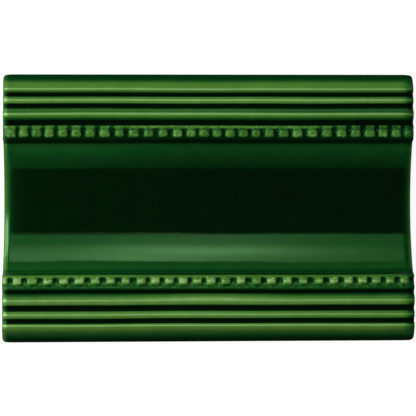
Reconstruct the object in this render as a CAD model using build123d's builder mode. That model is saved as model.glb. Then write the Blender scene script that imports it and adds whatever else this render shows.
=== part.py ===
from build123d import *
from math import pi, radians, sin
import os

# A moulded cornice tile, pressed and glazed in one piece. It lies on its back with the
# moulded face up: X runs along the wall, Y up the wall and Z out of the wall.

# Outline on the wall
length = 152.0
height = 99.0

# Long edges: a straight side that rolls over onto the face
side_height = 10.9
roll_radius = 6.1

# Reeds and the quirks between them, taken inwards from the crest of the roll
quirk_drop = 1.3           # crest of the roll down to the floor of the quirks
roll_shoulder = 1.6        # crest of the roll to the middle of the first quirk
fine_reed_width = 4.55     # middle of one quirk to the middle of the next
fine_reed_rise = 1.4
broad_reed_width = 6.05
broad_reed_rise = 1.8
crest_share = 0.6          # part of each slope that is round like the crest, not hollow

# Bead band: a shallow channel between two lips, with a row of beads standing in it
lip_offset = 1.65          # middle of the third quirk to the crest of the outer lip
lip_rise = 1.2
band_width = 4.1           # crest of the outer lip to the crest of the inner lip
channel_width = 3.0
channel_depth = 0.75
bead_length = 3.4
bead_width = 3.4
bead_height = 1.85         # above the floor of the channel
bead_corner = 0.75
bead_bevel = 0.85

# Step from the inner lip down to the cove
lip_round = 0.75
step_lean = 6.0            # degrees off the upright
step_drop = 1.8            # floor of the quirks down to the rim of the cove
step_hollow = 0.8

# Cove
cove_depth = 5.8

# Bead rows: both were rolled with one wheel that runs a little out of true
wheel_beads = 14
wheel_drift = 0.8
upper_count = 30
upper_first = 2.45         # left end of the tile to the first bead
upper_last = 2.2
upper_phase = 135.0        # degrees
lower_count = 28
lower_first = 0.94         # the left end cuts through this bead
lower_last = 3.7
lower_phase = 240.0        # degrees

# Eased ends, and the keys in the back that hold the bedding
end_bevel = 0.6
key_count = 6
key_width = 7.0
key_depth = 1.4
key_margin = 9.0

# Levels above the back
roll_level = side_height + roll_radius
quirk_level = roll_level - quirk_drop
lip_level = quirk_level + lip_rise
channel_level = lip_level - channel_depth
rim_level = quirk_level - step_drop
cove_level = rim_level - cove_depth

# Places across the face, from the middle of the tile outwards
half = height / 2
roll_at = half - roll_radius
quirk_1_at = roll_at - roll_shoulder
fine_reed_at = quirk_1_at - fine_reed_width / 2
quirk_2_at = quirk_1_at - fine_reed_width
broad_reed_at = quirk_2_at - broad_reed_width / 2
quirk_3_at = quirk_2_at - broad_reed_width
outer_lip_at = quirk_3_at - lip_offset
inner_lip_at = outer_lip_at - band_width
bead_at = (outer_lip_at + inner_lip_at) / 2


def ogee(crest, hollow):
    """Draw the slope from a crest to a hollow as two arcs that are level at its ends."""
    way = 1 if hollow[0] > crest[0] else -1
    turn = Vector(crest) + (Vector(hollow) - Vector(crest)) * crest_share
    TangentArc(crest, turn, tangent=(way, 0))
    TangentArc(hollow, turn, tangent=(-way, 0))


def row_places(count, first, last, phase):
    """Bead places along the tile: an even pitch with the slow drift of the wheel."""
    start = first - length / 2
    pitch = (length - first - last) / (count - 1)
    turn = 2 * pi / wheel_beads
    return [start + pitch * i + wheel_drift * sin(turn * i + radians(phase)) for i in range(count)]


with BuildPart() as bead:
    with BuildSketch(Plane.XY) as bead_plan:
        Rectangle(bead_length, bead_width)
        chamfer(bead_plan.vertices(), length=bead_corner)
    extrude(amount=bead_height)
    chamfer(bead.faces().sort_by(Axis.Z)[-1].edges(), length=bead_bevel)

with BuildPart() as tile:
    with BuildSketch(Plane.YZ) as section:
        with BuildLine():
            Polyline((0, 0), (half, 0), (half, side_height))
            TangentArc((half, side_height), (roll_at, roll_level), tangent=(0, 1))
            ogee((roll_at, roll_level), (quirk_1_at, quirk_level))
            ogee((fine_reed_at, quirk_level + fine_reed_rise), (quirk_1_at, quirk_level))
            ogee((fine_reed_at, quirk_level + fine_reed_rise), (quirk_2_at, quirk_level))
            ogee((broad_reed_at, quirk_level + broad_reed_rise), (quirk_2_at, quirk_level))
            ogee((broad_reed_at, quirk_level + broad_reed_rise), (quirk_3_at, quirk_level))
            ogee((outer_lip_at, lip_level), (quirk_3_at, quirk_level))
            Line((outer_lip_at, lip_level), (inner_lip_at, lip_level))
            lip_edge = JernArc((inner_lip_at, lip_level), (-1, 0), lip_round, 90 - step_lean)
            step = PolarLine(
                lip_edge @ 1,
                (lip_edge @ 1).Y - rim_level,
                direction=lip_edge % 1,
                length_mode=LengthMode.VERTICAL,
            )
            TangentArc((0, cove_level), step @ 1, tangent=(1, 0))
            mirror(about=Plane.YZ)
        make_face()
        step_feet = [v for v in section.vertices() if abs(v.Y - rim_level) < step_hollow / 10]
        fillet(step_feet, radius=step_hollow)
    extrude(amount=length / 2, both=True)

    ends = [e for e in tile.edges() if abs(abs(e.center().X) - length / 2) < end_bevel / 10]
    chamfer([e for e in ends if e.center().Z > end_bevel], length=end_bevel)

    with BuildSketch(Plane.YZ) as channels:
        with Locations((bead_at, lip_level), (-bead_at, lip_level)):
            Rectangle(channel_width, 2 * channel_depth)
    extrude(amount=length / 2, both=True, mode=Mode.SUBTRACT)

    upper_row = row_places(upper_count, upper_first, upper_last, upper_phase)
    lower_row = row_places(lower_count, lower_first, lower_last, lower_phase)
    with Locations(
        *[(x, bead_at, channel_level) for x in upper_row],
        *[(x, -bead_at, channel_level) for x in lower_row],
    ):
        add(bead.part)
    Box(length, height, 4 * roll_level, mode=Mode.INTERSECT)

    with BuildSketch(Plane.XY) as keys:
        with GridLocations(0, (height - 2 * key_margin - key_width) / (key_count - 1), 1, key_count):
            SlotOverall(length - 2 * key_margin, key_width)
    extrude(amount=key_depth, mode=Mode.SUBTRACT)

tile.part.label = "cornice_tile"

os.makedirs("parts", exist_ok=True)
export_step(tile.part, "parts/cornice_tile.step")
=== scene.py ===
import math

import bmesh
import bpy
import numpy as np
from mathutils import Matrix, Vector, noise
from mathutils.geometry import tessellate_polygon


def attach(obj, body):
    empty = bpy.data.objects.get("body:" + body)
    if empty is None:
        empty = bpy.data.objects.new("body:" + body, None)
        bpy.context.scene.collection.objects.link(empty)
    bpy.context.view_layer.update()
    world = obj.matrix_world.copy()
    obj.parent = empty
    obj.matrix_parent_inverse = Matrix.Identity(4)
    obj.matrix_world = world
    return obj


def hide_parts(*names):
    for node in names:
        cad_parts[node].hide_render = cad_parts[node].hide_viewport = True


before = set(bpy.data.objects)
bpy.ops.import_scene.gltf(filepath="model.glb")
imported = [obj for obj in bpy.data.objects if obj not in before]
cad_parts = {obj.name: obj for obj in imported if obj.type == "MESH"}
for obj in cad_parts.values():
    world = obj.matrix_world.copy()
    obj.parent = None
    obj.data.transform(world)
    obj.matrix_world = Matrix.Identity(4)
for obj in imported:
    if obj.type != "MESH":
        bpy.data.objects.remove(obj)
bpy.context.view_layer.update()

MM = 0.001

# Sizes of the tile in millimetres, the same values as in the part's source
LENGTH = 152.0
HEIGHT = 99.0
SIDE_HEIGHT = 10.9
ROLL_RADIUS = 6.1
QUIRK_DROP = 1.3
ROLL_SHOULDER = 1.6
FINE_REED_WIDTH = 4.55
FINE_REED_RISE = 1.4
BROAD_REED_WIDTH = 6.05
BROAD_REED_RISE = 1.8
STEP_DROP = 1.8
COVE_DEPTH = 5.8
WHEEL_BEADS = 14
WHEEL_DRIFT = 0.8
# Bead rows: beads, first and last from the ends, phase of the wheel in degrees
UPPER_ROW = (30, 2.45, 2.2, 135.0)
LOWER_ROW = (28, 0.94, 3.7, 240.0)
KEY_COUNT = 6
KEY_WIDTH = 7.0
KEY_DEPTH = 1.4
KEY_MARGIN = 9.0

# Levels above the back and places inwards from the long edge
HALF = HEIGHT / 2
HALF_LENGTH = LENGTH / 2
ROLL_LEVEL = SIDE_HEIGHT + ROLL_RADIUS
QUIRK_LEVEL = ROLL_LEVEL - QUIRK_DROP
COVE_LEVEL = QUIRK_LEVEL - STEP_DROP - COVE_DEPTH
BROAD_OFFSET = 0.14
QUIRK_1 = ROLL_RADIUS + ROLL_SHOULDER
FINE_REED = QUIRK_1 + FINE_REED_WIDTH / 2
QUIRK_2 = QUIRK_1 + FINE_REED_WIDTH
BROAD_REED = QUIRK_2 + BROAD_REED_WIDTH / 2 - BROAD_OFFSET
QUIRK_3 = QUIRK_2 + BROAD_REED_WIDTH
QUIRKS = [(e, QUIRK_LEVEL) for e in (QUIRK_1, QUIRK_2, QUIRK_3)]
RIM = 25.04
COVE_CHORD = HALF - RIM
COVE_RADIUS = (COVE_CHORD ** 2 + COVE_DEPTH ** 2) / (2 * COVE_DEPTH)

# How the glaze softens the shape. Side 1 is the upper border and side -1 the lower one.
ROLL_CREST = 1.9
ROLL_LEAN = math.radians(21.0)
ROLL_PULL = 2.9
ROLL_INNER = 0.95
FINE_CREST = 1.5
BROAD_CREST = 2.0
HOLLOW = 0.6
REED_SHIFT = {1: 0.17, -1: 0.15}
REED_TURN = {1: 0.0, -1: 0.1}
LEDGE_CREST = (20.05, 17.15)
LEDGE_ROUND = 0.6
PIT = (
    (20.8, 16.8),
    (21.0, 16.5),
    (21.25, 16.33),
    (21.6, 16.2),
    (22.0, 16.05),
    (22.4, 15.93),
    (22.8, 15.88),
)
PIT_TURN = (23.15, 15.9)
LIP_CREST = (24.0, 16.5)
LIP_FLANK = (0.45, 0.3)
LIP_ROUND = 0.75
LIP_TURN = math.radians(78.0)
WALL_FALL = 1.5
HOLLOW_REACH = 1.2
LEVEL_FROM = 3.0
CORNER = 1.5
SKEW = 0.16
BEVEL_LEAN = math.radians(26.0)
BEVEL_WIDTH = (1.2, 2.3)
ARRIS_LEAN = math.radians(52.0)
ARRIS_WIDTH = 0.5

# Mesh: rings down the sides, chamfer at the back, floors of the keys, sharp edges, steps along the tile
BACK_CHAMFER = 0.35
SIDE_RINGS = (0.06, 0.16, 0.3, 0.45, 0.6, 0.75, 0.9, 1.0)
DULL_RINGS = 2
KEY_FLOOR_INSET = 0.35
KEY_FLOOR_NARROW = 0.9
SHARP_BELOW = 2.0
SHARP_ANGLE = 0.6
COLUMN_STEP = 1.2
FINE_STEP = 0.3
FINE_FROM, FINE_TO = 19.3, 24.2

# Beads
BEAD_CREST = (21.85, 17.93)
BEAD_OUTER = {1: 1.9, -1: 1.8}
BEAD_INNER = 2.25
BEAD_ROUND = 2.2
BEAD_FOOT = 15.8
BEAD_HALF_LENGTH = {1: 2.4, -1: 2.2}
BEAD_SQUARE = 2.3
BEAD_NOSE = {1: 2.6, -1: 2.1}
BEAD_TAIL = {1: 5.0, -1: 12.0}
BEAD_TAPER = {1: 0.2, -1: 0.0}
BEAD_TAPER_FROM, BEAD_TAPER_OVER = 22.6, 2.4
BEAD_NARROWEST = 0.05
BEAD_BLEND = 0.2
BEAD_SEED = {1: 11, -1: 23}
HAND_LIMIT = 1.6
HAND_PLACE = 0.07
HAND_LENGTH = 0.055
HAND_RISE = 0.04
HAND_SINK = 0.05
HAND_GLAZE = 0.045
MOTTLE_RISE = 0.05

# Glaze depth, from 0 where it is thinnest to 1 where it pools. At the places noted below it also paints
# light and shade into the colour.
THIN, PLAIN, POOL = 0.2, 0.63, 1.0
# On the lower side the deeper glaze towards the outer edge, with ROLL_SHADE, is partly painted shade on the
# outer face of the roll.
EDGE = {1: 0.7, -1: 0.85}
ROLL_GLAZE = {1: (1.8, 4.4), -1: (0.4, 5.8)}
ROLL_SHADE = {1: 0.0, -1: 0.085}
ROLL_SHADE_AT = (4.15, 0.75)
# Thinner glaze along the crests, partly the glaze breaking over them and partly a painted highlight.
CREST_THIN_AND_HIGHLIGHT = 0.3
CREST_WIDTH = 0.2
# Thinner glaze on the reed flanks that face the lower edge, as painted light.
FLANK_PAINTED_LIGHT = 0.07
FINE_OUTER = 0.36
FINE_RIGHT = 0.05
BROAD_OUTER = {1: 0.2, -1: -0.03}
BROAD_INNER = {1: 0.45, -1: 0.33}
BROAD_MIDDLE = 0.2
BROAD_RIGHT = 0.1
# Dark glaze pooled in the quirks, which also stands in for the shade in them: middle, half width
QUIRK_POOLS_AND_SHADE = {
    1: ((8.0, 0.74), (12.25, 0.86), (18.45, 1.02)),
    -1: ((7.82, 0.9), (12.5, 1.07), (18.48, 0.7)),
}
POOL_SOFT = 0.3
# Thinner glaze on the upper ledge and deeper glaze on the lower one, partly painted light and painted shade
# on ledges that face up and down the tile.
LEDGE = {1: 0.22, -1: 0.53}
LEDGE_BETWEEN, LEDGE_ABOVE, LEDGE_RIGHT = 0.42, 0.02, 0.4
PIT_SIDE = {1: 0.7, -1: 0.6}
# Thinner glaze on the outer wall of the lower pits, partly a painted reflection.
PIT_SHELF = {1: 0.0, -1: 0.2}
PIT_POOL = {1: 0.81, -1: 0.75}
# The upper lip and the step under it get deeper glaze, partly pooled glaze and partly painted shade; the
# thin glaze on the lower lip is partly painted light.
LIP = {1: 0.84, -1: 0.275}
STEP = {1: 0.92, -1: 0.7}
STEP_END = 0.68
BAND_DRIFT = 0.07
BEAD_TOP = {1: 0.25, -1: 0.14}
BEAD_NOSE_GLAZE = (1.0, 0.75)
BEAD_TAIL_GLAZE = (0.7, 1.05)
BEAD_WAIST = (0.08, 0.16)
BEAD_WAIST_AT = (20.95, 0.5)
BEAD_RIM = 0.1
BEAD_RIM_AT = (23.25, 0.4)
# A highlight painted across the lower beads as thinner glaze.
BEAD_PAINTED_GLINT = 0.17
BEAD_PAINTED_GLINT_AT = (22.3, 0.4)
# Deeper glaze on the noses of the lower beads, partly painted shade.
BEAD_FALL = 0.35
MOTTLE_GLAZE = 0.2
COVE_THIN = 0.03
COVE_POOL = 0.985
COVE_UPPER, COVE_UPPER_MORE = 0.04, 0.17
COVE_LOWER = 0.06
COVE_FROM = 24.9
COVE_LEFT = 0.08
SIDE_GLAZE = PLAIN + 0.03

# Glaze near the ends
# Pale spots at the left ends are painted highlights: thinner glaze, with raised gloss.
SPOT_PAINTED_HIGHLIGHT = 0.17
SPOT_SHIFT = 0.6
SPOT_WIDTH = 0.95
LEDGE_SPOT = 21.0
LEDGE_SPOT_END = 22.5
# Deeper glaze towards the right end, partly painted shade where the end turns away from the left lamp.
RIGHT_THICK_AND_SHADE = 0.22
QUIRK_END = 0.95
QUIRK_END_WIDTH = 1.45
POOL_LEFT = 0.95
POOL_RIGHT = 0.5
COVE_STRIP = 0.14
COVE_STRIP_AT = (2.2, 0.8)
LEFT_WEIGHT = 0.78
LEFT_BORDER, LEFT_COVE = 0.33, 0.27
RIGHT_BORDER, RIGHT_BORDER_WEIGHT = 0.45, 0.6
RIGHT_COVE, RIGHT_COVE_WEIGHT = 0.36, 0.85
POOL_FROM = 0.62

# Gloss, as a share of the full gloss
GROOVE_GLOSS = 0.06
LIP_GLOSS = 0.25
LIP_REACH = 0.7
LIP_GLOSS_END = 26.0
BAND_GLOSS = {1: 0.6, -1: 0.3}
COVE_GLOSS = 0.8
COVE_END_DULL = 0.85
BORDER_END_DULL = 0.97
SPOT_GLOSS = 1.3


# In the functions below x runs along the tile, y across it and z up. e is the inset from the nearer
# long edge, d the distance from the nearer end and g the depth of the glaze. All lengths, and the
# limits of the smooth steps over them, are in millimetres.
def smooth(a, b, t):
    """A smooth step from 0 at a to 1 at b."""
    u = np.clip((t - a) / (b - a), 0.0, 1.0)
    return u * u * (3 - 2 * u)


def between(a, b, c, d, t):
    """A smooth rise from a to b and a smooth fall from c to d."""
    return smooth(a, b, t) * smooth(d, c, t)


def bell(t, centre, width):
    """A smooth hump of height 1."""
    return np.exp(-((t - centre) / width) ** 2)


def crests(side):
    """Insets of the crests of the fine and the broad reed."""
    return FINE_REED + REED_SHIFT[side], BROAD_REED + REED_SHIFT[side]


def cove_level(y):
    """Level of the cove's arc."""
    return COVE_LEVEL + COVE_RADIUS - math.sqrt(COVE_RADIUS ** 2 - y ** 2)


def slope(crest, hollow, crest_radius, hollow_radius):
    """Points from a crest to a hollow: a round crest, a straight flank and a round hollow."""
    run, fall = abs(hollow[0] - crest[0]), crest[1] - hollow[1]
    way = math.copysign(1, hollow[0] - crest[0])
    both = crest_radius + hollow_radius
    lean = math.asin(both / math.hypot(run, both - fall)) - math.atan2(both - fall, run)
    crest_arc = [
        (crest[0] + way * crest_radius * math.sin(a), crest[1] - crest_radius * (1 - math.cos(a)))
        for a in np.linspace(0, lean, 8)
    ]
    hollow_arc = [
        (hollow[0] - way * hollow_radius * math.sin(a), hollow[1] + hollow_radius * (1 - math.cos(a)))
        for a in np.linspace(lean, 0, 6)
    ]
    start, end = crest_arc[-1], hollow_arc[0]
    count = max(1, round(math.hypot(end[0] - start[0], end[1] - start[1]) / FINE_STEP))
    flank = [
        (start[0] + (end[0] - start[0]) * k / count, start[1] + (end[1] - start[1]) * k / count)
        for k in range(1, count)
    ]
    return crest_arc + flank + hollow_arc


# Section of the face
def roll_points():
    """The outer roll from the long edge up to its crest."""
    crest = [
        (ROLL_RADIUS - ROLL_CREST * math.sin(a), ROLL_LEVEL - ROLL_CREST * (1 - math.cos(a)))
        for a in np.linspace(0, ROLL_LEAN, 7)
    ]
    shoulder = crest[-1]
    p1 = (
        shoulder[0] - ROLL_PULL * math.cos(ROLL_LEAN),
        shoulder[1] - ROLL_PULL * math.sin(ROLL_LEAN),
    )
    p2 = (0.0, SIDE_HEIGHT + ROLL_PULL)
    points = []
    for t in np.linspace(0, 1, 17)[:-1]:
        w = (t ** 3, 3 * t ** 2 * (1 - t), 3 * t * (1 - t) ** 2, (1 - t) ** 3)
        e = w[0] * shoulder[0] + w[1] * p1[0] + w[2] * p2[0]
        z = w[0] * shoulder[1] + w[1] * p1[1] + w[2] * p2[1] + w[3] * SIDE_HEIGHT
        points.append((e, z))
    return points + crest[::-1]


def reed_glaze(e, side):
    """Glaze over the roll and the reeds: thinnest along the crests, where it also paints a highlight,
    thinner on the flanks facing the lower edge as painted light, deeper on the lower roll's outer face as
    painted shade, and pooled in the quirks, where it also paints their shade.
    """
    g = EDGE[side] + (THIN - EDGE[side]) * smooth(*ROLL_GLAZE[side], e)
    g += ROLL_SHADE[side] * bell(e, *ROLL_SHADE_AT)
    fine, broad = crests(side)
    g += BROAD_OUTER[side] * between(12.6, 13.4, broad - 0.7, broad - 0.1, e)
    g += BROAD_INNER[side] * np.clip((e - broad - 0.35) / (QUIRK_3 - broad - 1.25), 0, 1)
    for crest in (fine, broad):
        g -= FLANK_PAINTED_LIGHT * between(0.1, 0.45, 1.1, 1.7, (e - crest) * side)
    for crest in (ROLL_RADIUS, fine, broad):
        g -= CREST_THIN_AND_HIGHLIGHT * bell(e, crest, CREST_WIDTH)
    for middle, half in QUIRK_POOLS_AND_SHADE[side]:
        g += (POOL - g) * (1 - smooth(half - POOL_SOFT, half + POOL_SOFT, abs(e - middle)))
    return g


def reed_rows(side):
    """Roll and reeds, from the long edge to the last quirk: inset, level and glaze."""
    fine, broad = crests(side)
    fine_top = (fine, QUIRK_LEVEL + FINE_REED_RISE)
    broad_top = (broad, QUIRK_LEVEL + BROAD_REED_RISE)
    line = roll_points()
    line += slope((ROLL_RADIUS, ROLL_LEVEL), QUIRKS[0], ROLL_INNER, HOLLOW)[1:]
    line += slope(fine_top, QUIRKS[0], FINE_CREST, HOLLOW)[-2::-1]
    line += slope(fine_top, QUIRKS[1], FINE_CREST, HOLLOW)[1:]
    line += slope(broad_top, QUIRKS[1], BROAD_CREST, HOLLOW)[-2::-1]
    line += slope(broad_top, QUIRKS[2], BROAD_CREST, HOLLOW)[1:]
    return [(e, z, reed_glaze(e, side)) for e, z in line]


def channel_rows(side):
    """Ledge and bead channel, from the last quirk to the foot of the lip."""
    rows = []
    ledge, pit, pool = LEDGE[side], PIT_SIDE[side], PIT_POOL[side]
    middle, half = QUIRK_POOLS_AND_SHADE[side][-1]
    for e, z in slope(LEDGE_CREST, QUIRKS[2], LEDGE_ROUND, HOLLOW)[-2::-1]:
        g = POOL + (ledge - POOL) * smooth(half - POOL_SOFT, half + POOL_SOFT, e - middle)
        rows.append((e, z, g))
    crest_e, crest_z = LEDGE_CREST
    for t in (0.2, 0.4, 0.6, 0.8):
        e = crest_e + (PIT[0][0] - crest_e) * t
        z = crest_z + (PIT[0][1] - crest_z) * t ** 2
        rows.append((e, z, ledge + (pit - ledge) * smooth(0.45, 1.0, t)))
    for e, z in (*PIT, PIT_TURN):
        g = pit + (pool - pit) * smooth(21.3, 21.9, e)
        # Painted reflection on the outer wall of the lower pits, as thinner glaze.
        g -= PIT_SHELF[side] * between(20.5, 20.9, 21.8, 22.2, e)
        rows.append((e, z, g))
    return rows


def lip_rows(side):
    """The lip, from its foot in the channel over its crest to the step."""
    rows = []
    lip, pool = LIP[side], PIT_POOL[side]
    for e, z in slope(LIP_CREST, PIT_TURN, *LIP_FLANK)[-2::-1]:
        rise = (z - PIT_TURN[1]) / (LIP_CREST[1] - PIT_TURN[1])
        rows.append((e, z, pool + (lip - pool) * smooth(0.3, 0.9, rise)))
    for a in np.linspace(0, LIP_TURN, 7)[1:]:
        e = LIP_CREST[0] + LIP_ROUND * math.sin(a)
        z = LIP_CREST[1] - LIP_ROUND * (1 - math.cos(a))
        rows.append((e, z, lip + (max(PLAIN, lip) - lip) * smooth(0.5, 1.1, a)))
    return rows


def step_rows(top, side):
    """The step under the lip and the hollow that leads into the cove."""
    rows = []
    step = STEP[side]
    foot = (top[0] + WALL_FALL / math.tan(LIP_TURN), top[1] - WALL_FALL)
    for t in (0.33, 0.67, 1.0):
        g = PLAIN + (step - PLAIN) * max(t, step - PLAIN)
        rows.append((top[0] + (foot[0] - top[0]) * t, top[1] + (foot[1] - top[1]) * t, g))
    end_e = foot[0] + HOLLOW_REACH
    end_y = HALF - end_e
    end = (end_e, cove_level(end_y))
    lean = math.asin(end_y / COVE_RADIUS)
    span = math.hypot(end[0] - foot[0], end[1] - foot[1])
    leave = (math.cos(LIP_TURN) * span, -math.sin(LIP_TURN) * span)
    arrive = (math.cos(lean) * span, -math.sin(lean) * span)
    for t in np.linspace(0, 1, 8)[1:]:
        h = (2 * t ** 3 - 3 * t ** 2 + 1, t ** 3 - 2 * t ** 2 + t, 3 * t ** 2 - 2 * t ** 3, t ** 3 - t ** 2)
        e = h[0] * foot[0] + h[1] * leave[0] + h[2] * end[0] + h[3] * arrive[0]
        z = h[0] * foot[1] + h[1] * leave[1] + h[2] * end[1] + h[3] * arrive[1]
        rows.append((e, z, step + (STEP_END - step) * smooth(0.45, 1.0, t)))
    return rows


def border_rows(side):
    """Lines of the section from the long edge to the cove: inset, level, glaze, fine for the beads."""
    rows = reed_rows(side) + channel_rows(side) + lip_rows(side)
    rows += step_rows(rows[-1], side)
    return [(e, z, g, FINE_FROM < e < FINE_TO) for e, z, g in rows]


def cove_glaze(y):
    """Glaze ran down to the bottom of the cove and ended in a soft line on each side of it."""
    low = smooth(-10.4, -9.3, y)
    high = smooth(15.2, 14.2, y)
    g = PLAIN - COVE_THIN + (COVE_POOL - PLAIN) * low * high
    g += (COVE_UPPER + COVE_UPPER_MORE * smooth(22.5, 16.0, y)) * smooth(0, 20, y) * (1 - high)
    return g - COVE_LOWER * smooth(-19.8, -21.8, y) + COVE_LOWER * smooth(-22.6, -24.0, y)


def section_rows():
    """Every line of the face from the lower edge to the upper: y, level, inset, glaze, fine, side."""
    rows = [(e - HALF, z, e, g, fine, -1) for e, z, g, fine in border_rows(-1)]
    reach = HALF - rows[-1][2]
    for y in np.linspace(-reach, reach, 63)[1:-1]:
        rows.append((y, cove_level(y), HALF - abs(y), cove_glaze(y), False, 0))
    rows.extend((HALF - e, z, e, g, fine, 1) for e, z, g, fine in reversed(border_rows(1)))
    return rows


def columns():
    """Places along the tile, closer at the ends, and how many fine ones share each gap."""
    near = [0, 0.05, 0.15, 0.3, 0.5, 0.75, 1.05, 1.45, 1.95, 2.6, 3.4, 4.3]
    inner_half = HALF_LENGTH - near[-1]
    inner = np.linspace(-inner_half, inner_half, round(2 * inner_half / COLUMN_STEP) + 1)
    left = [-HALF_LENGTH + d for d in near[:-1]]
    coarse = np.array(left + list(inner) + [-x for x in reversed(left)])
    parts = [max(1, math.ceil((b - a) / FINE_STEP - 0.01)) for a, b in zip(coarse, coarse[1:])]
    fine = [coarse[0]]
    for a, b, n in zip(coarse, coarse[1:], parts):
        fine.extend(a + (b - a) * k / n for k in range(1, n + 1))
    return coarse, np.array(fine), parts


# Bead rows
def bead_row(count, first, last, phase, side):
    """Places of a row of beads, with the slight differences of hand work."""
    i = np.arange(count)
    pitch = (LENGTH - first - last) / (count - 1)
    turn = 2 * math.pi * i / WHEEL_BEADS + math.radians(phase)
    x = first - HALF_LENGTH + pitch * i + WHEEL_DRIFT * np.sin(turn)
    hand = np.random.RandomState(BEAD_SEED[side]).normal(size=(4, count)).clip(-HAND_LIMIT, HAND_LIMIT)
    return {
        "x": x + HAND_PLACE * hand[0],
        "length": BEAD_HALF_LENGTH[side] * (1 + HAND_LENGTH * hand[1]),
        "rise": HAND_RISE * hand[2] - HAND_SINK,
        "glaze": HAND_GLAZE * hand[3],
    }


BEADS = {1: bead_row(*UPPER_ROW, 1), -1: bead_row(*LOWER_ROW, -1)}


def bead_level(e, side):
    """Level of a bead along its middle."""
    d = e - BEAD_CREST[0]
    share = abs(d) / (BEAD_OUTER[side] if d < 0 else BEAD_INNER)
    return BEAD_FOOT + (BEAD_CREST[1] - BEAD_FOOT) * math.sqrt(max(0.0, 1 - share ** BEAD_ROUND))


def bead_glaze(x, e, side, glaze):
    """Glaze on the beads at one line of the section: thin tops and thicker noses; on the lower beads a
    highlight is painted across them and the deeper noses are partly painted shade.
    """
    start, end = (BEAD_CREST[0] + share * BEAD_INNER for share in BEAD_TAIL_GLAZE)
    thin = BEAD_TOP[side] + glaze + (LIP[side] - BEAD_TOP[side]) * smooth(start, end, e)
    if side == -1:
        # The lower beads get a painted highlight across them and deeper glaze on their noses, which is
        # partly painted shade.
        return thin - BEAD_PAINTED_GLINT * bell(e, *BEAD_PAINTED_GLINT_AT) + BEAD_FALL * smooth(21.8, 20.9, e)
    waist = BEAD_WAIST[0] + BEAD_WAIST[1] * smooth(-55.0, -25.0, x)
    return thin + waist * bell(e, *BEAD_WAIST_AT) - BEAD_RIM * bell(e, *BEAD_RIM_AT)


def beads_over(x, e, base, g, side):
    """Raise the channel to the beads at one line of the section."""
    outer = BEAD_OUTER[side]
    if not -outer < e - BEAD_CREST[0] < BEAD_INNER:
        return base, g
    row = BEADS[side]
    outward = max(0.0, (BEAD_CREST[0] - e) / outer)
    inward = max(0.0, (e - BEAD_CREST[0]) / BEAD_INNER)
    ends = math.sqrt((1 - outward ** BEAD_NOSE[side]) * (1 - inward ** BEAD_TAIL[side]))
    taper = 1 - BEAD_TAPER[side] * min(max((BEAD_TAPER_FROM - e) / BEAD_TAPER_OVER, 0.0), 1.0)
    apart = np.abs((x[:, None] - row["x"]) / row["length"])
    best = apart.argmin(axis=1)
    apart = apart[np.arange(len(x)), best]
    u = (apart / (taper * max(BEAD_NARROWEST, ends))).clip(0, 1)
    form = np.sqrt(1 - u ** BEAD_SQUARE)
    top = BEAD_FOOT + (bead_level(e, side) + row["rise"][best] - BEAD_FOOT) * form
    z = (base + top + np.sqrt((base - top) ** 2 + BEAD_BLEND ** 2) - BEAD_BLEND) / 2
    if side == 1:
        nose_from, nose_to = (BEAD_CREST[0] - share * outer for share in BEAD_NOSE_GLAZE)
        bare = (1 - smooth(0.5, 1.0, u)) * smooth(nose_from, nose_to, e)
    else:
        bare = 1 - smooth(0.5, 1.0, (apart ** 2.5 + outward ** 2.5) ** 0.4)
    return z, g + (bead_glaze(x, e, side, row["glaze"][best]) - g) * bare


def mottle(x, e, side):
    """Small unevenness of the bead rows, about -1 to 1."""
    broad = np.array([noise.noise((v / 0.95, e / 0.75, 7.3 * side)) for v in x])
    small = np.array([noise.noise((v / 0.5, e / 0.42, 3.1 + 7.3 * side)) for v in x])
    return (broad + 0.6 * small) * between(FINE_FROM, 19.9, 23.7, FINE_TO, e)


# Changes along the tile
END_PLACES = np.linspace(0, 3, 301)
END_BEVEL = BEVEL_LEAN * (1 - smooth(*BEVEL_WIDTH, END_PLACES))
END_ARRIS = ARRIS_LEAN * (1 - smooth(0.0, ARRIS_WIDTH, END_PLACES))
END_DROPS = np.cumsum(np.tan(END_BEVEL + END_ARRIS)[::-1])[::-1] * (END_PLACES[1] - END_PLACES[0])


def end_fall(d):
    """How far the face falls away at distance d from an end: a soft bevel and a tighter arris."""
    return np.interp(d, END_PLACES, END_DROPS)


def half_length_at(e):
    """Half length of the tile at an inset from the long edge, with the rounded corner."""
    if e >= CORNER:
        return HALF_LENGTH
    return HALF_LENGTH - CORNER + math.sqrt(CORNER ** 2 - (CORNER - e) ** 2)


def ripple(x, y):
    """Slow unevenness of the glazed surface."""
    return (
        0.010 * np.sin(x / 9.3 + 0.7 + y / 21.0)
        + 0.008 * np.sin(x / 5.1 + 2.1 - y / 11.0)
        + 0.006 * np.sin(x / 14.7 - y / 6.3)
    )


def sway(x, y):
    """Slow sideways wander of the lines along the tile."""
    return 0.05 * np.sin(x / 19.0 + y / 9.0) + 0.035 * np.sin(x / 8.7 + 1.3 - y / 5.0)


def upper_change(x, e):
    """How the glaze of the upper border changes along the tile."""
    fine, broad = crests(1)
    outer = FINE_OUTER * smooth(fine - 0.3, fine - 1.7, e) * smooth(QUIRK_1, QUIRK_1 + 0.5, e)
    outer = outer * (1 - 0.65 * bell(x, 0.0, 30.0) + 0.25 * smooth(20, 60, x))
    right = BROAD_RIGHT * smooth(0, 45, x) * between(12.6, 13.2, broad - 0.8, broad - 0.2, e)
    apart = np.abs(x[:, None] - BEADS[1]["x"]).min(axis=1) / BEAD_HALF_LENGTH[1]
    above = smooth(0.9, 0.5, apart)
    ledge = (LEDGE_BETWEEN + (LEDGE_ABOVE - LEDGE_BETWEEN) * above) * smooth(28.0, 46.0, np.abs(x - 4))
    ledge = ledge + LEDGE_RIGHT * smooth(46.0, 58.0, x) * (1 - 0.6 * above)
    return outer + right + ledge * between(19.3, 19.7, 20.5, 20.8, e)


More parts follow.
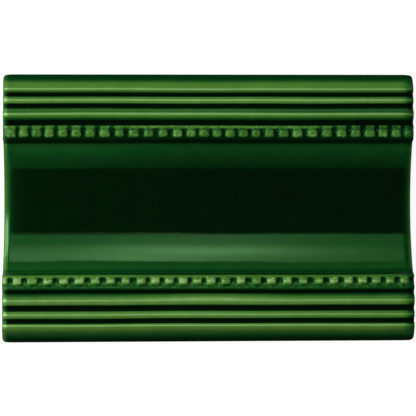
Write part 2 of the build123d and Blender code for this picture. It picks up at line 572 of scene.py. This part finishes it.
def lower_change(x, e):
    """How the glaze of the lower border changes along the tile."""
    flank = between(BROAD_REED + 0.2, BROAD_REED + 0.8, QUIRK_3 - 0.9, QUIRK_3 - 0.3, e)
    middle = -BROAD_MIDDLE * flank * bell(x, 0.0, 28.0)
    drift = BAND_DRIFT * x / HALF_LENGTH * between(20.9, 21.6, 24.9, 25.5, e)
    right = FINE_RIGHT * smooth(0.0, 60.0, x) * between(8.6, 9.2, 11.2, 11.8, e)
    return middle + drift + right


def cove_change(x, y, g):
    """How the glaze of the step and the cove thins towards the left."""
    shallow = 1 - 0.65 * smooth(-8.0, -12.0, y) * smooth(-23.5, -21.5, y)
    return -COVE_LEFT * shallow * smooth(0.0, -60.0, x) * (1 - 0.7 * smooth(0.7, 0.95, g))


def end_highlight_spot(y, e, left, side):
    """Share of the pale spots on the left ends of the reeds and on the left edge of the cove, where a
    highlight is painted as thinner glaze and the gloss is raised.
    """
    if not side:
        return smooth(-2.0, -8.0, y) * smooth(-24.5, -21.0, y) * between(0.1, 0.4, 0.9, 1.7, left)
    if e > (QUIRK_3 if side == -1 else LEDGE_SPOT_END):
        return np.zeros(len(left))
    places = (*crests(1), LEDGE_SPOT) if side == 1 else (ROLL_RADIUS, *crests(-1))
    across = sum(bell(e, place - SPOT_SHIFT * side, SPOT_WIDTH) for place in places)
    return across * between(0.1, 0.4, 1.3, 2.2, left)


def border_end_glaze(g, left, right, e, side):
    """Glaze of a border near the ends: thin over the left end, and thicker at the right end, where it is
    partly painted shade.
    """
    g = g + RIGHT_THICK_AND_SHADE * (1 - smooth(1.5, 5.5, right)) * (1 - smooth(0.3, 0.6, g))
    near = max(bell(e, middle, QUIRK_END_WIDTH) for middle, _ in QUIRK_POOLS_AND_SHADE[side])
    g = g + np.clip(POOL - g, 0, None) * QUIRK_END * near * between(0.1, 0.5, 1.2, 3.6, right)
    g = g + (LEFT_BORDER - g) * LEFT_WEIGHT * (1 - smooth(0.6, 2.2, left)) * smooth(0.3, 0.5, g)
    edge = RIGHT_BORDER_WEIGHT * (1 - smooth(0.2, 0.9, right))
    return g + (RIGHT_BORDER - g) * edge * smooth(0.3, 0.5, g)


def cove_end_glaze(g, left, right, y):
    """Glaze of the cove near the ends: a thinner pool, and a dark strip and a thin edge at the right."""
    pooled = np.clip(g - POOL_FROM, 0, None)
    g = g - POOL_LEFT * pooled * np.exp(-np.clip(left - 2.0, 0, None) / 1.9)
    g = g - POOL_RIGHT * pooled * (1 - smooth(1.7, 3.3, right))
    strip = bell(right, *COVE_STRIP_AT) * (1 - smooth(0.65, 0.9, g)) * smooth(-2.0, -9.0, y)
    g = g + COVE_STRIP * strip
    g = g + (LEFT_COVE - g) * LEFT_WEIGHT * (1 - smooth(0.6, 2.2, left)) * smooth(0.3, 0.5, g)
    edge = RIGHT_COVE_WEIGHT * (1 - smooth(0.6, 1.9, right))
    return g + (RIGHT_COVE - g) * edge * smooth(0.3, 0.5, g)


def border_gloss(g, e, right, side):
    """Gloss of a border: little in the quirks, on the lip, on the outer edge and at the right end."""
    shine = 1 + (GROOVE_GLOSS - 1) * smooth(0.6, 0.85, g)
    shine = shine * smooth(2.6, 4.4, e)
    lip_from = LIP_CREST[0] - LIP_REACH
    if lip_from < e < LIP_GLOSS_END:
        shine = shine * LIP_GLOSS
    if LEDGE_CREST[0] < e < lip_from:
        shine = shine * BAND_GLOSS[side]
    return shine * (1 - BORDER_END_DULL * (1 - smooth(1.6, 3.0, right)))


def cove_gloss(y, d, right):
    """Gloss of the cove, duller at its ends."""
    shine = COVE_GLOSS * (1 - COVE_END_DULL * (1 - smooth(1.9, 2.8, d)) * smooth(-6.0, 2.0, y))
    return shine * (1 - COVE_END_DULL * (1 - smooth(2.3, 3.9, right)))


# Mesh of the tile
class Shell:
    """Points with their glaze, gloss and olive tint painted as shade, and the faces between them."""

    def __init__(self):
        self.points = []
        self.values = {"glaze": [], "gloss": [], "shade_olive": []}
        self.faces = []
        self.count = 0

    def add(self, points, glaze, gloss, shade_olive=0.0):
        """Add points, each with its own values or all with one, and return their numbers."""
        ids = np.arange(self.count, self.count + len(points))
        self.count += len(points)
        self.points.append(points)
        for name, value in (("glaze", glaze), ("gloss", gloss), ("shade_olive", shade_olive)):
            self.values[name].append(np.broadcast_to(value, len(points)))
        return ids

    def join(self, a, b):
        """Close the band between two loops."""
        self.faces.extend(zip(a, b, np.roll(b, -1), np.roll(a, -1)))


def add_line(shell, row, places):
    """One line of the face along the tile."""
    y, z, e, g, is_fine, side = row
    reach = half_length_at(e)
    x = places * (reach / HALF_LENGTH)
    left, right = reach + x, reach - x
    d = np.minimum(left, right)
    level, glaze = np.full(len(x), z), np.full(len(x), g)
    if is_fine:
        level, glaze = beads_over(x, e, level, glaze, side)
        uneven = mottle(x, e, side)
        level = level + MOTTLE_RISE * uneven
        glaze = glaze + MOTTLE_GLAZE * uneven
    hold = smooth(0.0, LEVEL_FROM, e)
    level = level + ripple(x, y) * hold - end_fall(d)
    across = y + sway(x, y) * hold
    if side:
        across = across - REED_TURN[side] * x / HALF_LENGTH * hold
        glaze = glaze + (upper_change(x, e) if side == 1 else lower_change(x, e))
    if e > COVE_FROM:
        glaze = glaze + cove_change(x, y, glaze)
    spot = end_highlight_spot(y, e, left, side)
    if side:
        gloss = border_gloss(glaze, e, right, side)
        glaze = border_end_glaze(glaze, left, right, e, side)
    else:
        gloss = cove_gloss(y, d, right)
        glaze = cove_end_glaze(glaze, left, right, y)
    along = x * (1 - SKEW / HALF_LENGTH) + SKEW * y / HALF
    gloss = (gloss + SPOT_GLOSS * spot) * smooth(0.1, 0.5, d)
    # Olive tint painted as shade on the outer face of the lower roll.
    shade_olive = smooth(5.4, 4.2, e) if side == -1 else 0.0
    # The end spots paint a highlight as thinner glaze.
    return shell.add(np.c_[along, across, level], glaze - SPOT_PAINTED_HIGHLIGHT * spot, gloss, shade_olive)


def add_face(shell):
    """The moulded face: its lines, and the faces between coarse and fine ones."""
    coarse, fine, parts = columns()
    rows = section_rows()
    is_fine = [row[4] for row in rows]
    lines = [add_line(shell, row, fine if row[4] else coarse) for row in rows]
    for a, b, fine_a, fine_b in zip(lines, lines[1:], is_fine, is_fine[1:]):
        if fine_a == fine_b:
            shell.faces.extend(zip(a[:-1], a[1:], b[1:], b[:-1]))
            continue
        k = 0
        for i, n in enumerate(parts):
            if fine_a:
                shell.faces.append((*a[k:k + n + 1], b[i + 1], b[i]))
            else:
                shell.faces.append((a[i], a[i + 1], *b[k:k + n + 1][::-1]))
            k += n
    right = [line[-1] for line in lines[1:-1]]
    left = [line[0] for line in lines[-2:0:-1]]
    return np.array([*lines[0], *right, *lines[-1][::-1], *left])


def add_sides(shell, rim):
    """Sides and ends, from the rim of the face down to the back. Returns the back's outline."""
    top = np.concatenate(shell.points)[rim]
    loop = rim
    for k, share in enumerate(SIDE_RINGS):
        ring = top.copy()
        ring[:, 2] = top[:, 2] + (BACK_CHAMFER - top[:, 2]) * share
        lower = shell.add(ring, SIDE_GLAZE, 0.0 if k < DULL_RINGS else 1.0)
        shell.join(loop, lower)
        loop = lower
    back = top * (1 - BACK_CHAMFER / HALF_LENGTH, 1 - BACK_CHAMFER / HALF, 0.0)
    outline = shell.add(back, SIDE_GLAZE, 1.0)
    shell.join(loop, outline)
    return outline


def key_outline(middle):
    """Outline of one key: a long slot with round ends."""
    arc = np.linspace(-math.pi / 2, math.pi / 2, 13)
    straight = HALF_LENGTH - KEY_MARGIN - KEY_WIDTH / 2
    out, up = straight + KEY_WIDTH / 2 * np.cos(arc), KEY_WIDTH / 2 * np.sin(arc)
    return np.concatenate([np.c_[out, middle + up], np.c_[-out, middle - up]])


def add_back(shell, outline):
    """The flat back with its keys."""
    pitch = (HEIGHT - 2 * KEY_MARGIN - KEY_WIDTH) / (KEY_COUNT - 1)
    loops = [[Vector((*p[:2], 0)) for p in shell.points[-1]]]
    flat_ids = list(outline)
    for k in range(KEY_COUNT):
        middle = (k - (KEY_COUNT - 1) / 2) * pitch
        edge = key_outline(middle)
        inner = edge.copy()
        inner[:, 1] = middle + (inner[:, 1] - middle) * KEY_FLOOR_NARROW
        inner[:, 0] -= np.sign(inner[:, 0]) * KEY_FLOOR_INSET
        mouth = shell.add(np.c_[edge, np.zeros(len(edge))], PLAIN, 1.0)
        floor = shell.add(np.c_[inner, np.full(len(edge), KEY_DEPTH)], PLAIN, 1.0)
        shell.join(mouth, floor)
        shell.faces.append(tuple(floor[::-1]))
        loops.append([Vector((*p, 0)) for p in edge])
        flat_ids.extend(mouth)
    flat = [p for loop in loops for p in loop]
    for corners in tessellate_polygon(loops):
        a, b, c = (flat[i] for i in corners)
        facing_down = (b - a).cross(c - a).z < 0
        corners = corners if facing_down else corners[::-1]
        shell.faces.append(tuple(flat_ids[i] for i in corners))


def sharpen_back(mesh):
    """Keep the edges at the back and the keys sharp."""
    bm = bmesh.new()
    bm.from_mesh(mesh)
    for edge in bm.edges:
        low = max(v.co.z for v in edge.verts) < SHARP_BELOW * MM
        if low and edge.calc_face_angle(0) > SHARP_ANGLE:
            edge.smooth = False
    bm.to_mesh(mesh)
    bm.free()


def build_tile():
    """The glazed tile as one mesh."""
    shell = Shell()
    rim = add_face(shell)
    outline = add_sides(shell, rim)
    add_back(shell, outline)
    mesh = bpy.data.meshes.new("cornice_tile_glazed")
    places = (np.concatenate(shell.points) * MM).tolist()
    mesh.from_pydata(places, [], [tuple(int(i) for i in face) for face in shell.faces])
    mesh.update()
    for name, values in shell.values.items():
        layer = mesh.attributes.new(name, "FLOAT", "POINT")
        layer.data.foreach_set("value", np.concatenate(values).astype(np.float32))
    mesh.shade_smooth()
    sharpen_back(mesh)
    mesh.validate()
    tile = bpy.data.objects.new("cornice_tile_glazed", mesh)
    bpy.context.scene.collection.objects.link(tile)
    return tile


# Materials
class Nodes:
    """Short calls for building a node tree."""

    def __init__(self, tree):
        self.tree = tree

    def add(self, kind, **values):
        node = self.tree.nodes.new(kind)
        for key, value in values.items():
            setattr(node, key, value)
        return node

    def link(self, a, b):
        self.tree.links.new(a, b)

    def math(self, operation, a, b=None, clamp=False):
        node = self.add("ShaderNodeMath", operation=operation, use_clamp=clamp)
        for socket, value in zip(node.inputs, (a, b)):
            if value is None:
                continue
            if isinstance(value, (int, float)):
                socket.default_value = value
            else:
                self.link(value, socket)
        return node.outputs[0]

    def attribute(self, name):
        return self.add("ShaderNodeAttribute", attribute_name=name).outputs["Fac"]

    def noise(self, vector, scale, detail=3.0, roughness=0.5):
        node = self.add("ShaderNodeTexNoise")
        node.inputs["Scale"].default_value = scale
        node.inputs["Detail"].default_value = detail
        node.inputs["Roughness"].default_value = roughness
        self.link(vector, node.inputs["Vector"])
        return node.outputs["Fac"]

    def uneven(self, amount, *noise):
        """Noise around zero."""
        return self.math("MULTIPLY", self.math("SUBTRACT", self.noise(*noise), 0.5), amount)

    def bell(self, value, centre, width):
        away = self.math("DIVIDE", self.math("SUBTRACT", value, centre), width)
        return self.math("EXPONENT", self.math("MULTIPLY", self.math("MULTIPLY", away, away), -1.0))

    def ramp(self, fac, stops):
        node = self.add("ShaderNodeValToRGB")
        band = node.color_ramp
        while len(band.elements) < len(stops):
            band.elements.new(1.0)
        for element, (at, color) in zip(band.elements, stops):
            element.position = at
            element.color = (*color, 1.0)
        self.link(fac, node.inputs["Fac"])
        return node.outputs["Color"]

    def mix_color(self, fac, a, b, blend="MIX"):
        node = self.add("ShaderNodeMix", data_type="RGBA", blend_type=blend)
        self.link(fac, node.inputs["Factor"])
        self.link(a, node.inputs["A"])
        if isinstance(b, tuple):
            node.inputs["B"].default_value = (*b, 1.0)
        else:
            self.link(b, node.inputs["B"])
        return node.outputs["Result"]


def new_material(name):
    material = bpy.data.materials.new(name)
    material.use_nodes = True
    material.node_tree.nodes.clear()
    n = Nodes(material.node_tree)
    out = n.add("ShaderNodeOutputMaterial")
    return material, n, out


# Colours of the glaze by its depth, of the fired body by its grain, and the olive tint painted as shade on
# the outer face of the lower roll
GLAZE_COLORS = [
    (0.0, (0.25, 0.46, 0.145)),
    (0.1, (0.12, 0.275, 0.05)),
    (0.2, (0.077, 0.215, 0.027)),
    (0.36, (0.034, 0.14, 0.017)),
    (0.5, (0.0092, 0.075, 0.0115)),
    (0.64, (0.0019, 0.050, 0.0068)),
    (0.8, (0.0014, 0.019, 0.0034)),
    (1.0, (0.0008, 0.0052, 0.0013)),
]
BODY_COLORS = [
    (0.3, (0.52, 0.45, 0.34)),
    (0.5, (0.66, 0.59, 0.47)),
    (0.7, (0.74, 0.68, 0.57)),
]
SHADE_OLIVE_TINT = (1.8, 1.0, 1.2)
GLOSS_TINT = (0.46, 1.0, 0.41, 1.0)
GLAZE_LINE = 0.0026
GLAZE_LINE_WAVER = 0.004
GLAZE_LINE_SHARP = 5000.0
BODY_ROUGH = 0.82
GLAZE_SMOOTHER = 0.76
BODY_TOOTH = 9.0


def glaze_material():
    """Green glaze whose colour follows its depth, running out to bare body near the back."""
    material, n, out = new_material("green_glaze_on_body")
    bsdf = n.add("ShaderNodeBsdfPrincipled")
    n.link(bsdf.outputs[0], out.inputs["Surface"])
    bsdf.inputs["IOR"].default_value = 1.52
    bsdf.inputs["Specular Tint"].default_value = GLOSS_TINT
    n.link(n.math("MULTIPLY", n.attribute("gloss"), 0.5), bsdf.inputs["Specular IOR Level"])
    place = n.add("ShaderNodeTexCoord").outputs["Object"]

    cloud = n.uneven(0.10, place, 170.0, 2.0)
    speck = n.uneven(0.09, place, 1500.0, 2.0)
    depth = n.math("ADD", n.math("ADD", n.attribute("glaze"), cloud), speck, clamp=True)
    # The olive tint paints shade on the outer face of the lower roll.
    green = n.mix_color(n.attribute("shade_olive"), n.ramp(depth, GLAZE_COLORS), SHADE_OLIVE_TINT, "MULTIPLY")
    grain = n.noise(place, 900.0, 4.0, 0.65)
    body = n.ramp(grain, BODY_COLORS)

    height = n.add("ShaderNodeSeparateXYZ")
    n.link(place, height.inputs[0])
    line = n.math("ADD", n.uneven(GLAZE_LINE_WAVER, place, 60.0, 2.0, 0.4), GLAZE_LINE)
    above = n.math("SUBTRACT", height.outputs["Z"], line)
    glazed = n.math("MULTIPLY", above, GLAZE_LINE_SHARP, clamp=True)
    n.link(n.mix_color(glazed, body, green), bsdf.inputs["Base Color"])
    rough = n.math("SUBTRACT", BODY_ROUGH, n.math("MULTIPLY", glazed, GLAZE_SMOOTHER))
    n.link(rough, bsdf.inputs["Roughness"])

    swell = n.noise(place, 420.0, 1.0)
    tooth = n.math("MULTIPLY", n.math("SUBTRACT", 1.0, glazed), n.math("MULTIPLY", grain, BODY_TOOTH))
    bump = n.add("ShaderNodeBump")
    bump.inputs["Strength"].default_value = 0.5
    bump.inputs["Distance"].default_value = 0.00002
    n.link(n.math("ADD", swell, tooth), bump.inputs["Height"])
    n.link(bump.outputs[0], bsdf.inputs["Normal"])
    return material


tile = build_tile()
tile.data.materials.append(glaze_material())
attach(tile, "root")
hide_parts("cornice_tile")


# Floor
FLOOR_REACH = 20.0
FLOOR_GLOW = 0.86


def floor_material():
    """Pale floor that the camera and reflections see near white, while it keeps the tile's shadow."""
    material, n, out = new_material("pale_floor")
    bsdf = n.add("ShaderNodeBsdfDiffuse")
    place = n.add("ShaderNodeTexCoord").outputs["Object"]
    tone = n.ramp(n.noise(place, 3.0, 2.0), [(0.0, (0.28, 0.28, 0.28)), (1.0, (0.32, 0.32, 0.32))])
    n.link(tone, bsdf.inputs["Color"])
    glow = n.add("ShaderNodeEmission")
    path = n.add("ShaderNodeLightPath").outputs
    seen = n.math("ADD", path["Is Camera Ray"], path["Is Glossy Ray"])
    seen = n.math("ADD", seen, path["Is Transmission Ray"], clamp=True)
    n.link(n.math("MULTIPLY", seen, FLOOR_GLOW), glow.inputs["Strength"])
    total = n.add("ShaderNodeAddShader")
    n.link(bsdf.outputs[0], total.inputs[0])
    n.link(glow.outputs[0], total.inputs[1])
    n.link(total.outputs[0], out.inputs["Surface"])
    return material


def build_floor():
    """A wide flat floor under the tile."""
    signs = ((-1, -1), (1, -1), (1, 1), (-1, 1))
    mesh = bpy.data.meshes.new("floor")
    mesh.from_pydata([(sx * FLOOR_REACH, sy * FLOOR_REACH, 0) for sx, sy in signs], [], [(0, 1, 2, 3)])
    mesh.materials.append(floor_material())
    floor = bpy.data.objects.new("floor", mesh)
    bpy.context.scene.collection.objects.link(floor)
    return floor


floor = build_floor()


# World
WORLD_BASE = 0.0175
HORIZON = (0.72, 0.72, 0.72)


def build_world():
    """Pale around the horizon beyond the upper edge, and dark overhead."""
    world = bpy.data.worlds.new("studio")
    bpy.context.scene.world = world
    world.use_nodes = True
    world.node_tree.nodes.clear()
    n = Nodes(world.node_tree)
    out = n.add("ShaderNodeOutputWorld")
    back = n.add("ShaderNodeBackground")
    back.inputs["Color"].default_value = (1.0, 1.0, 1.0, 1.0)
    n.link(back.outputs[0], out.inputs["Surface"])
    split = n.add("ShaderNodeSeparateXYZ")
    n.link(n.add("ShaderNodeTexCoord").outputs["Generated"], split.inputs[0])
    up = n.math("MAXIMUM", split.outputs["Z"], 0.0)
    band = n.ramp(up, [(0.0, HORIZON), (0.3, HORIZON), (0.42, (0.0, 0.0, 0.0))])
    ahead = n.math("MULTIPLY", n.math("SUBTRACT", split.outputs["Y"], 0.2), 2.0, clamp=True)
    glow = n.math("ADD", n.math("MULTIPLY", band, ahead), WORLD_BASE)
    n.link(glow, back.inputs["Strength"])


build_world()


# Lights, in metres and watts
TILE_MIDDLE = (0, 0, 0)
SOFTBOX_AT = (0.008, 0.2256, 0.3901)
SOFTBOX_AIM = (0.008, -0.014, 0.009)
SOFTBOX_TURN = math.radians(2.8)
SOFTBOX_BASE = 0.065
LOWER_AIM = (0, 0.014, 0.009)


def area_light(name, place, target, size, power, color=(1, 1, 1)):
    light = bpy.data.lights.new(name, "AREA")
    light.shape = "RECTANGLE"
    light.size, light.size_y = size
    light.energy = power
    light.color = color
    lamp = bpy.data.objects.new(name, light)
    lamp.location = place
    lamp.visible_camera = False
    lamp.rotation_euler = (Vector(target) - Vector(place)).to_track_quat("-Z", "Y").to_euler()
    bpy.context.scene.collection.objects.link(lamp)
    return lamp


def shape_softbox(lamp):
    """Make the softbox dim at its near edge, brighter away and to the left, with a hot middle."""
    light = lamp.data
    light.use_nodes = True
    light.node_tree.nodes.clear()
    n = Nodes(light.node_tree)
    out = n.add("ShaderNodeOutputLight")
    glow = n.add("ShaderNodeEmission")
    n.link(glow.outputs[0], out.inputs["Surface"])
    split = n.add("ShaderNodeSeparateXYZ")
    n.link(n.add("ShaderNodeNewGeometry").outputs["Parametric"], split.inputs[0])
    left, near = split.outputs[0], split.outputs[1]
    spot = n.math("ADD", n.math("MULTIPLY", n.bell(near, 0.4, 0.17), 0.55), 0.17)
    middle = n.math("MULTIPLY", n.bell(left, 0.48, 0.19), spot)
    far = n.math("DIVIDE", n.math("SUBTRACT", 0.65, near), 0.4, clamp=True)
    side = n.math("MULTIPLY", far, n.math("ADD", n.math("MULTIPLY", left, 0.36), 0.02))
    corner = n.math("MULTIPLY", n.bell(left, 0.6, 0.11), n.bell(near, 0.1, 0.15))
    total = n.math("ADD", n.math("ADD", middle, side), n.math("MULTIPLY", corner, 0.3))
    n.link(n.math("ADD", total, SOFTBOX_BASE), glow.inputs["Strength"])


area_light("left_window", (-0.72, -0.06, 0.62), TILE_MIDDLE, (1.2, 1.1), 9.6, (0.96, 0.98, 1.0))
area_light("left_card", (-0.66, 0.32, 0.60), TILE_MIDDLE, (0.5, 0.22), 1.9, (0.78, 0.82, 1.0))
area_light("right_fill", (0.72, -0.06, 0.58), TILE_MIDDLE, (1.2, 1.1), 2.7)
softbox = area_light("upper_softbox", SOFTBOX_AT, SOFTBOX_AIM, (0.36, 0.163), 0.9)
softbox.rotation_euler.rotate_axis("Z", SOFTBOX_TURN)
shape_softbox(softbox)
area_light("lower_card", (0.0, -0.33, 0.40), LOWER_AIM, (0.5, 0.19), 0.03)


# Camera: over the face, a little left of and below the middle
CAMERA_DISTANCE = 0.62
CAMERA_YAW = math.radians(2.36)
CAMERA_PITCH = math.radians(-2.2)
CAMERA_ROLL = math.radians(0.212)
CAMERA_TARGET = (0.000165, 0.00027, 0.0)
FOCAL_PIXELS = 1642.9
IMAGE_PIXELS = 416
SENSOR_WIDTH = 36.0


def build_camera():
    camera_data = bpy.data.cameras.new("camera")
    camera_data.sensor_fit = "HORIZONTAL"
    camera_data.sensor_width = SENSOR_WIDTH
    camera_data.lens = FOCAL_PIXELS * SENSOR_WIDTH / IMAGE_PIXELS
    camera = bpy.data.objects.new("camera", camera_data)
    turn = (
        Matrix.Rotation(-CAMERA_YAW, 4, "Y")
        @ Matrix.Rotation(-CAMERA_PITCH, 4, "X")
        @ Matrix.Rotation(-CAMERA_ROLL, 4, "Z")
    )
    back = Matrix.Translation((0, 0, CAMERA_DISTANCE))
    camera.matrix_world = Matrix.Translation(CAMERA_TARGET) @ turn @ back
    bpy.context.scene.collection.objects.link(camera)
    return camera


bpy.context.scene.camera = build_camera()
bpy.context.scene.view_settings.view_transform = "Standard"
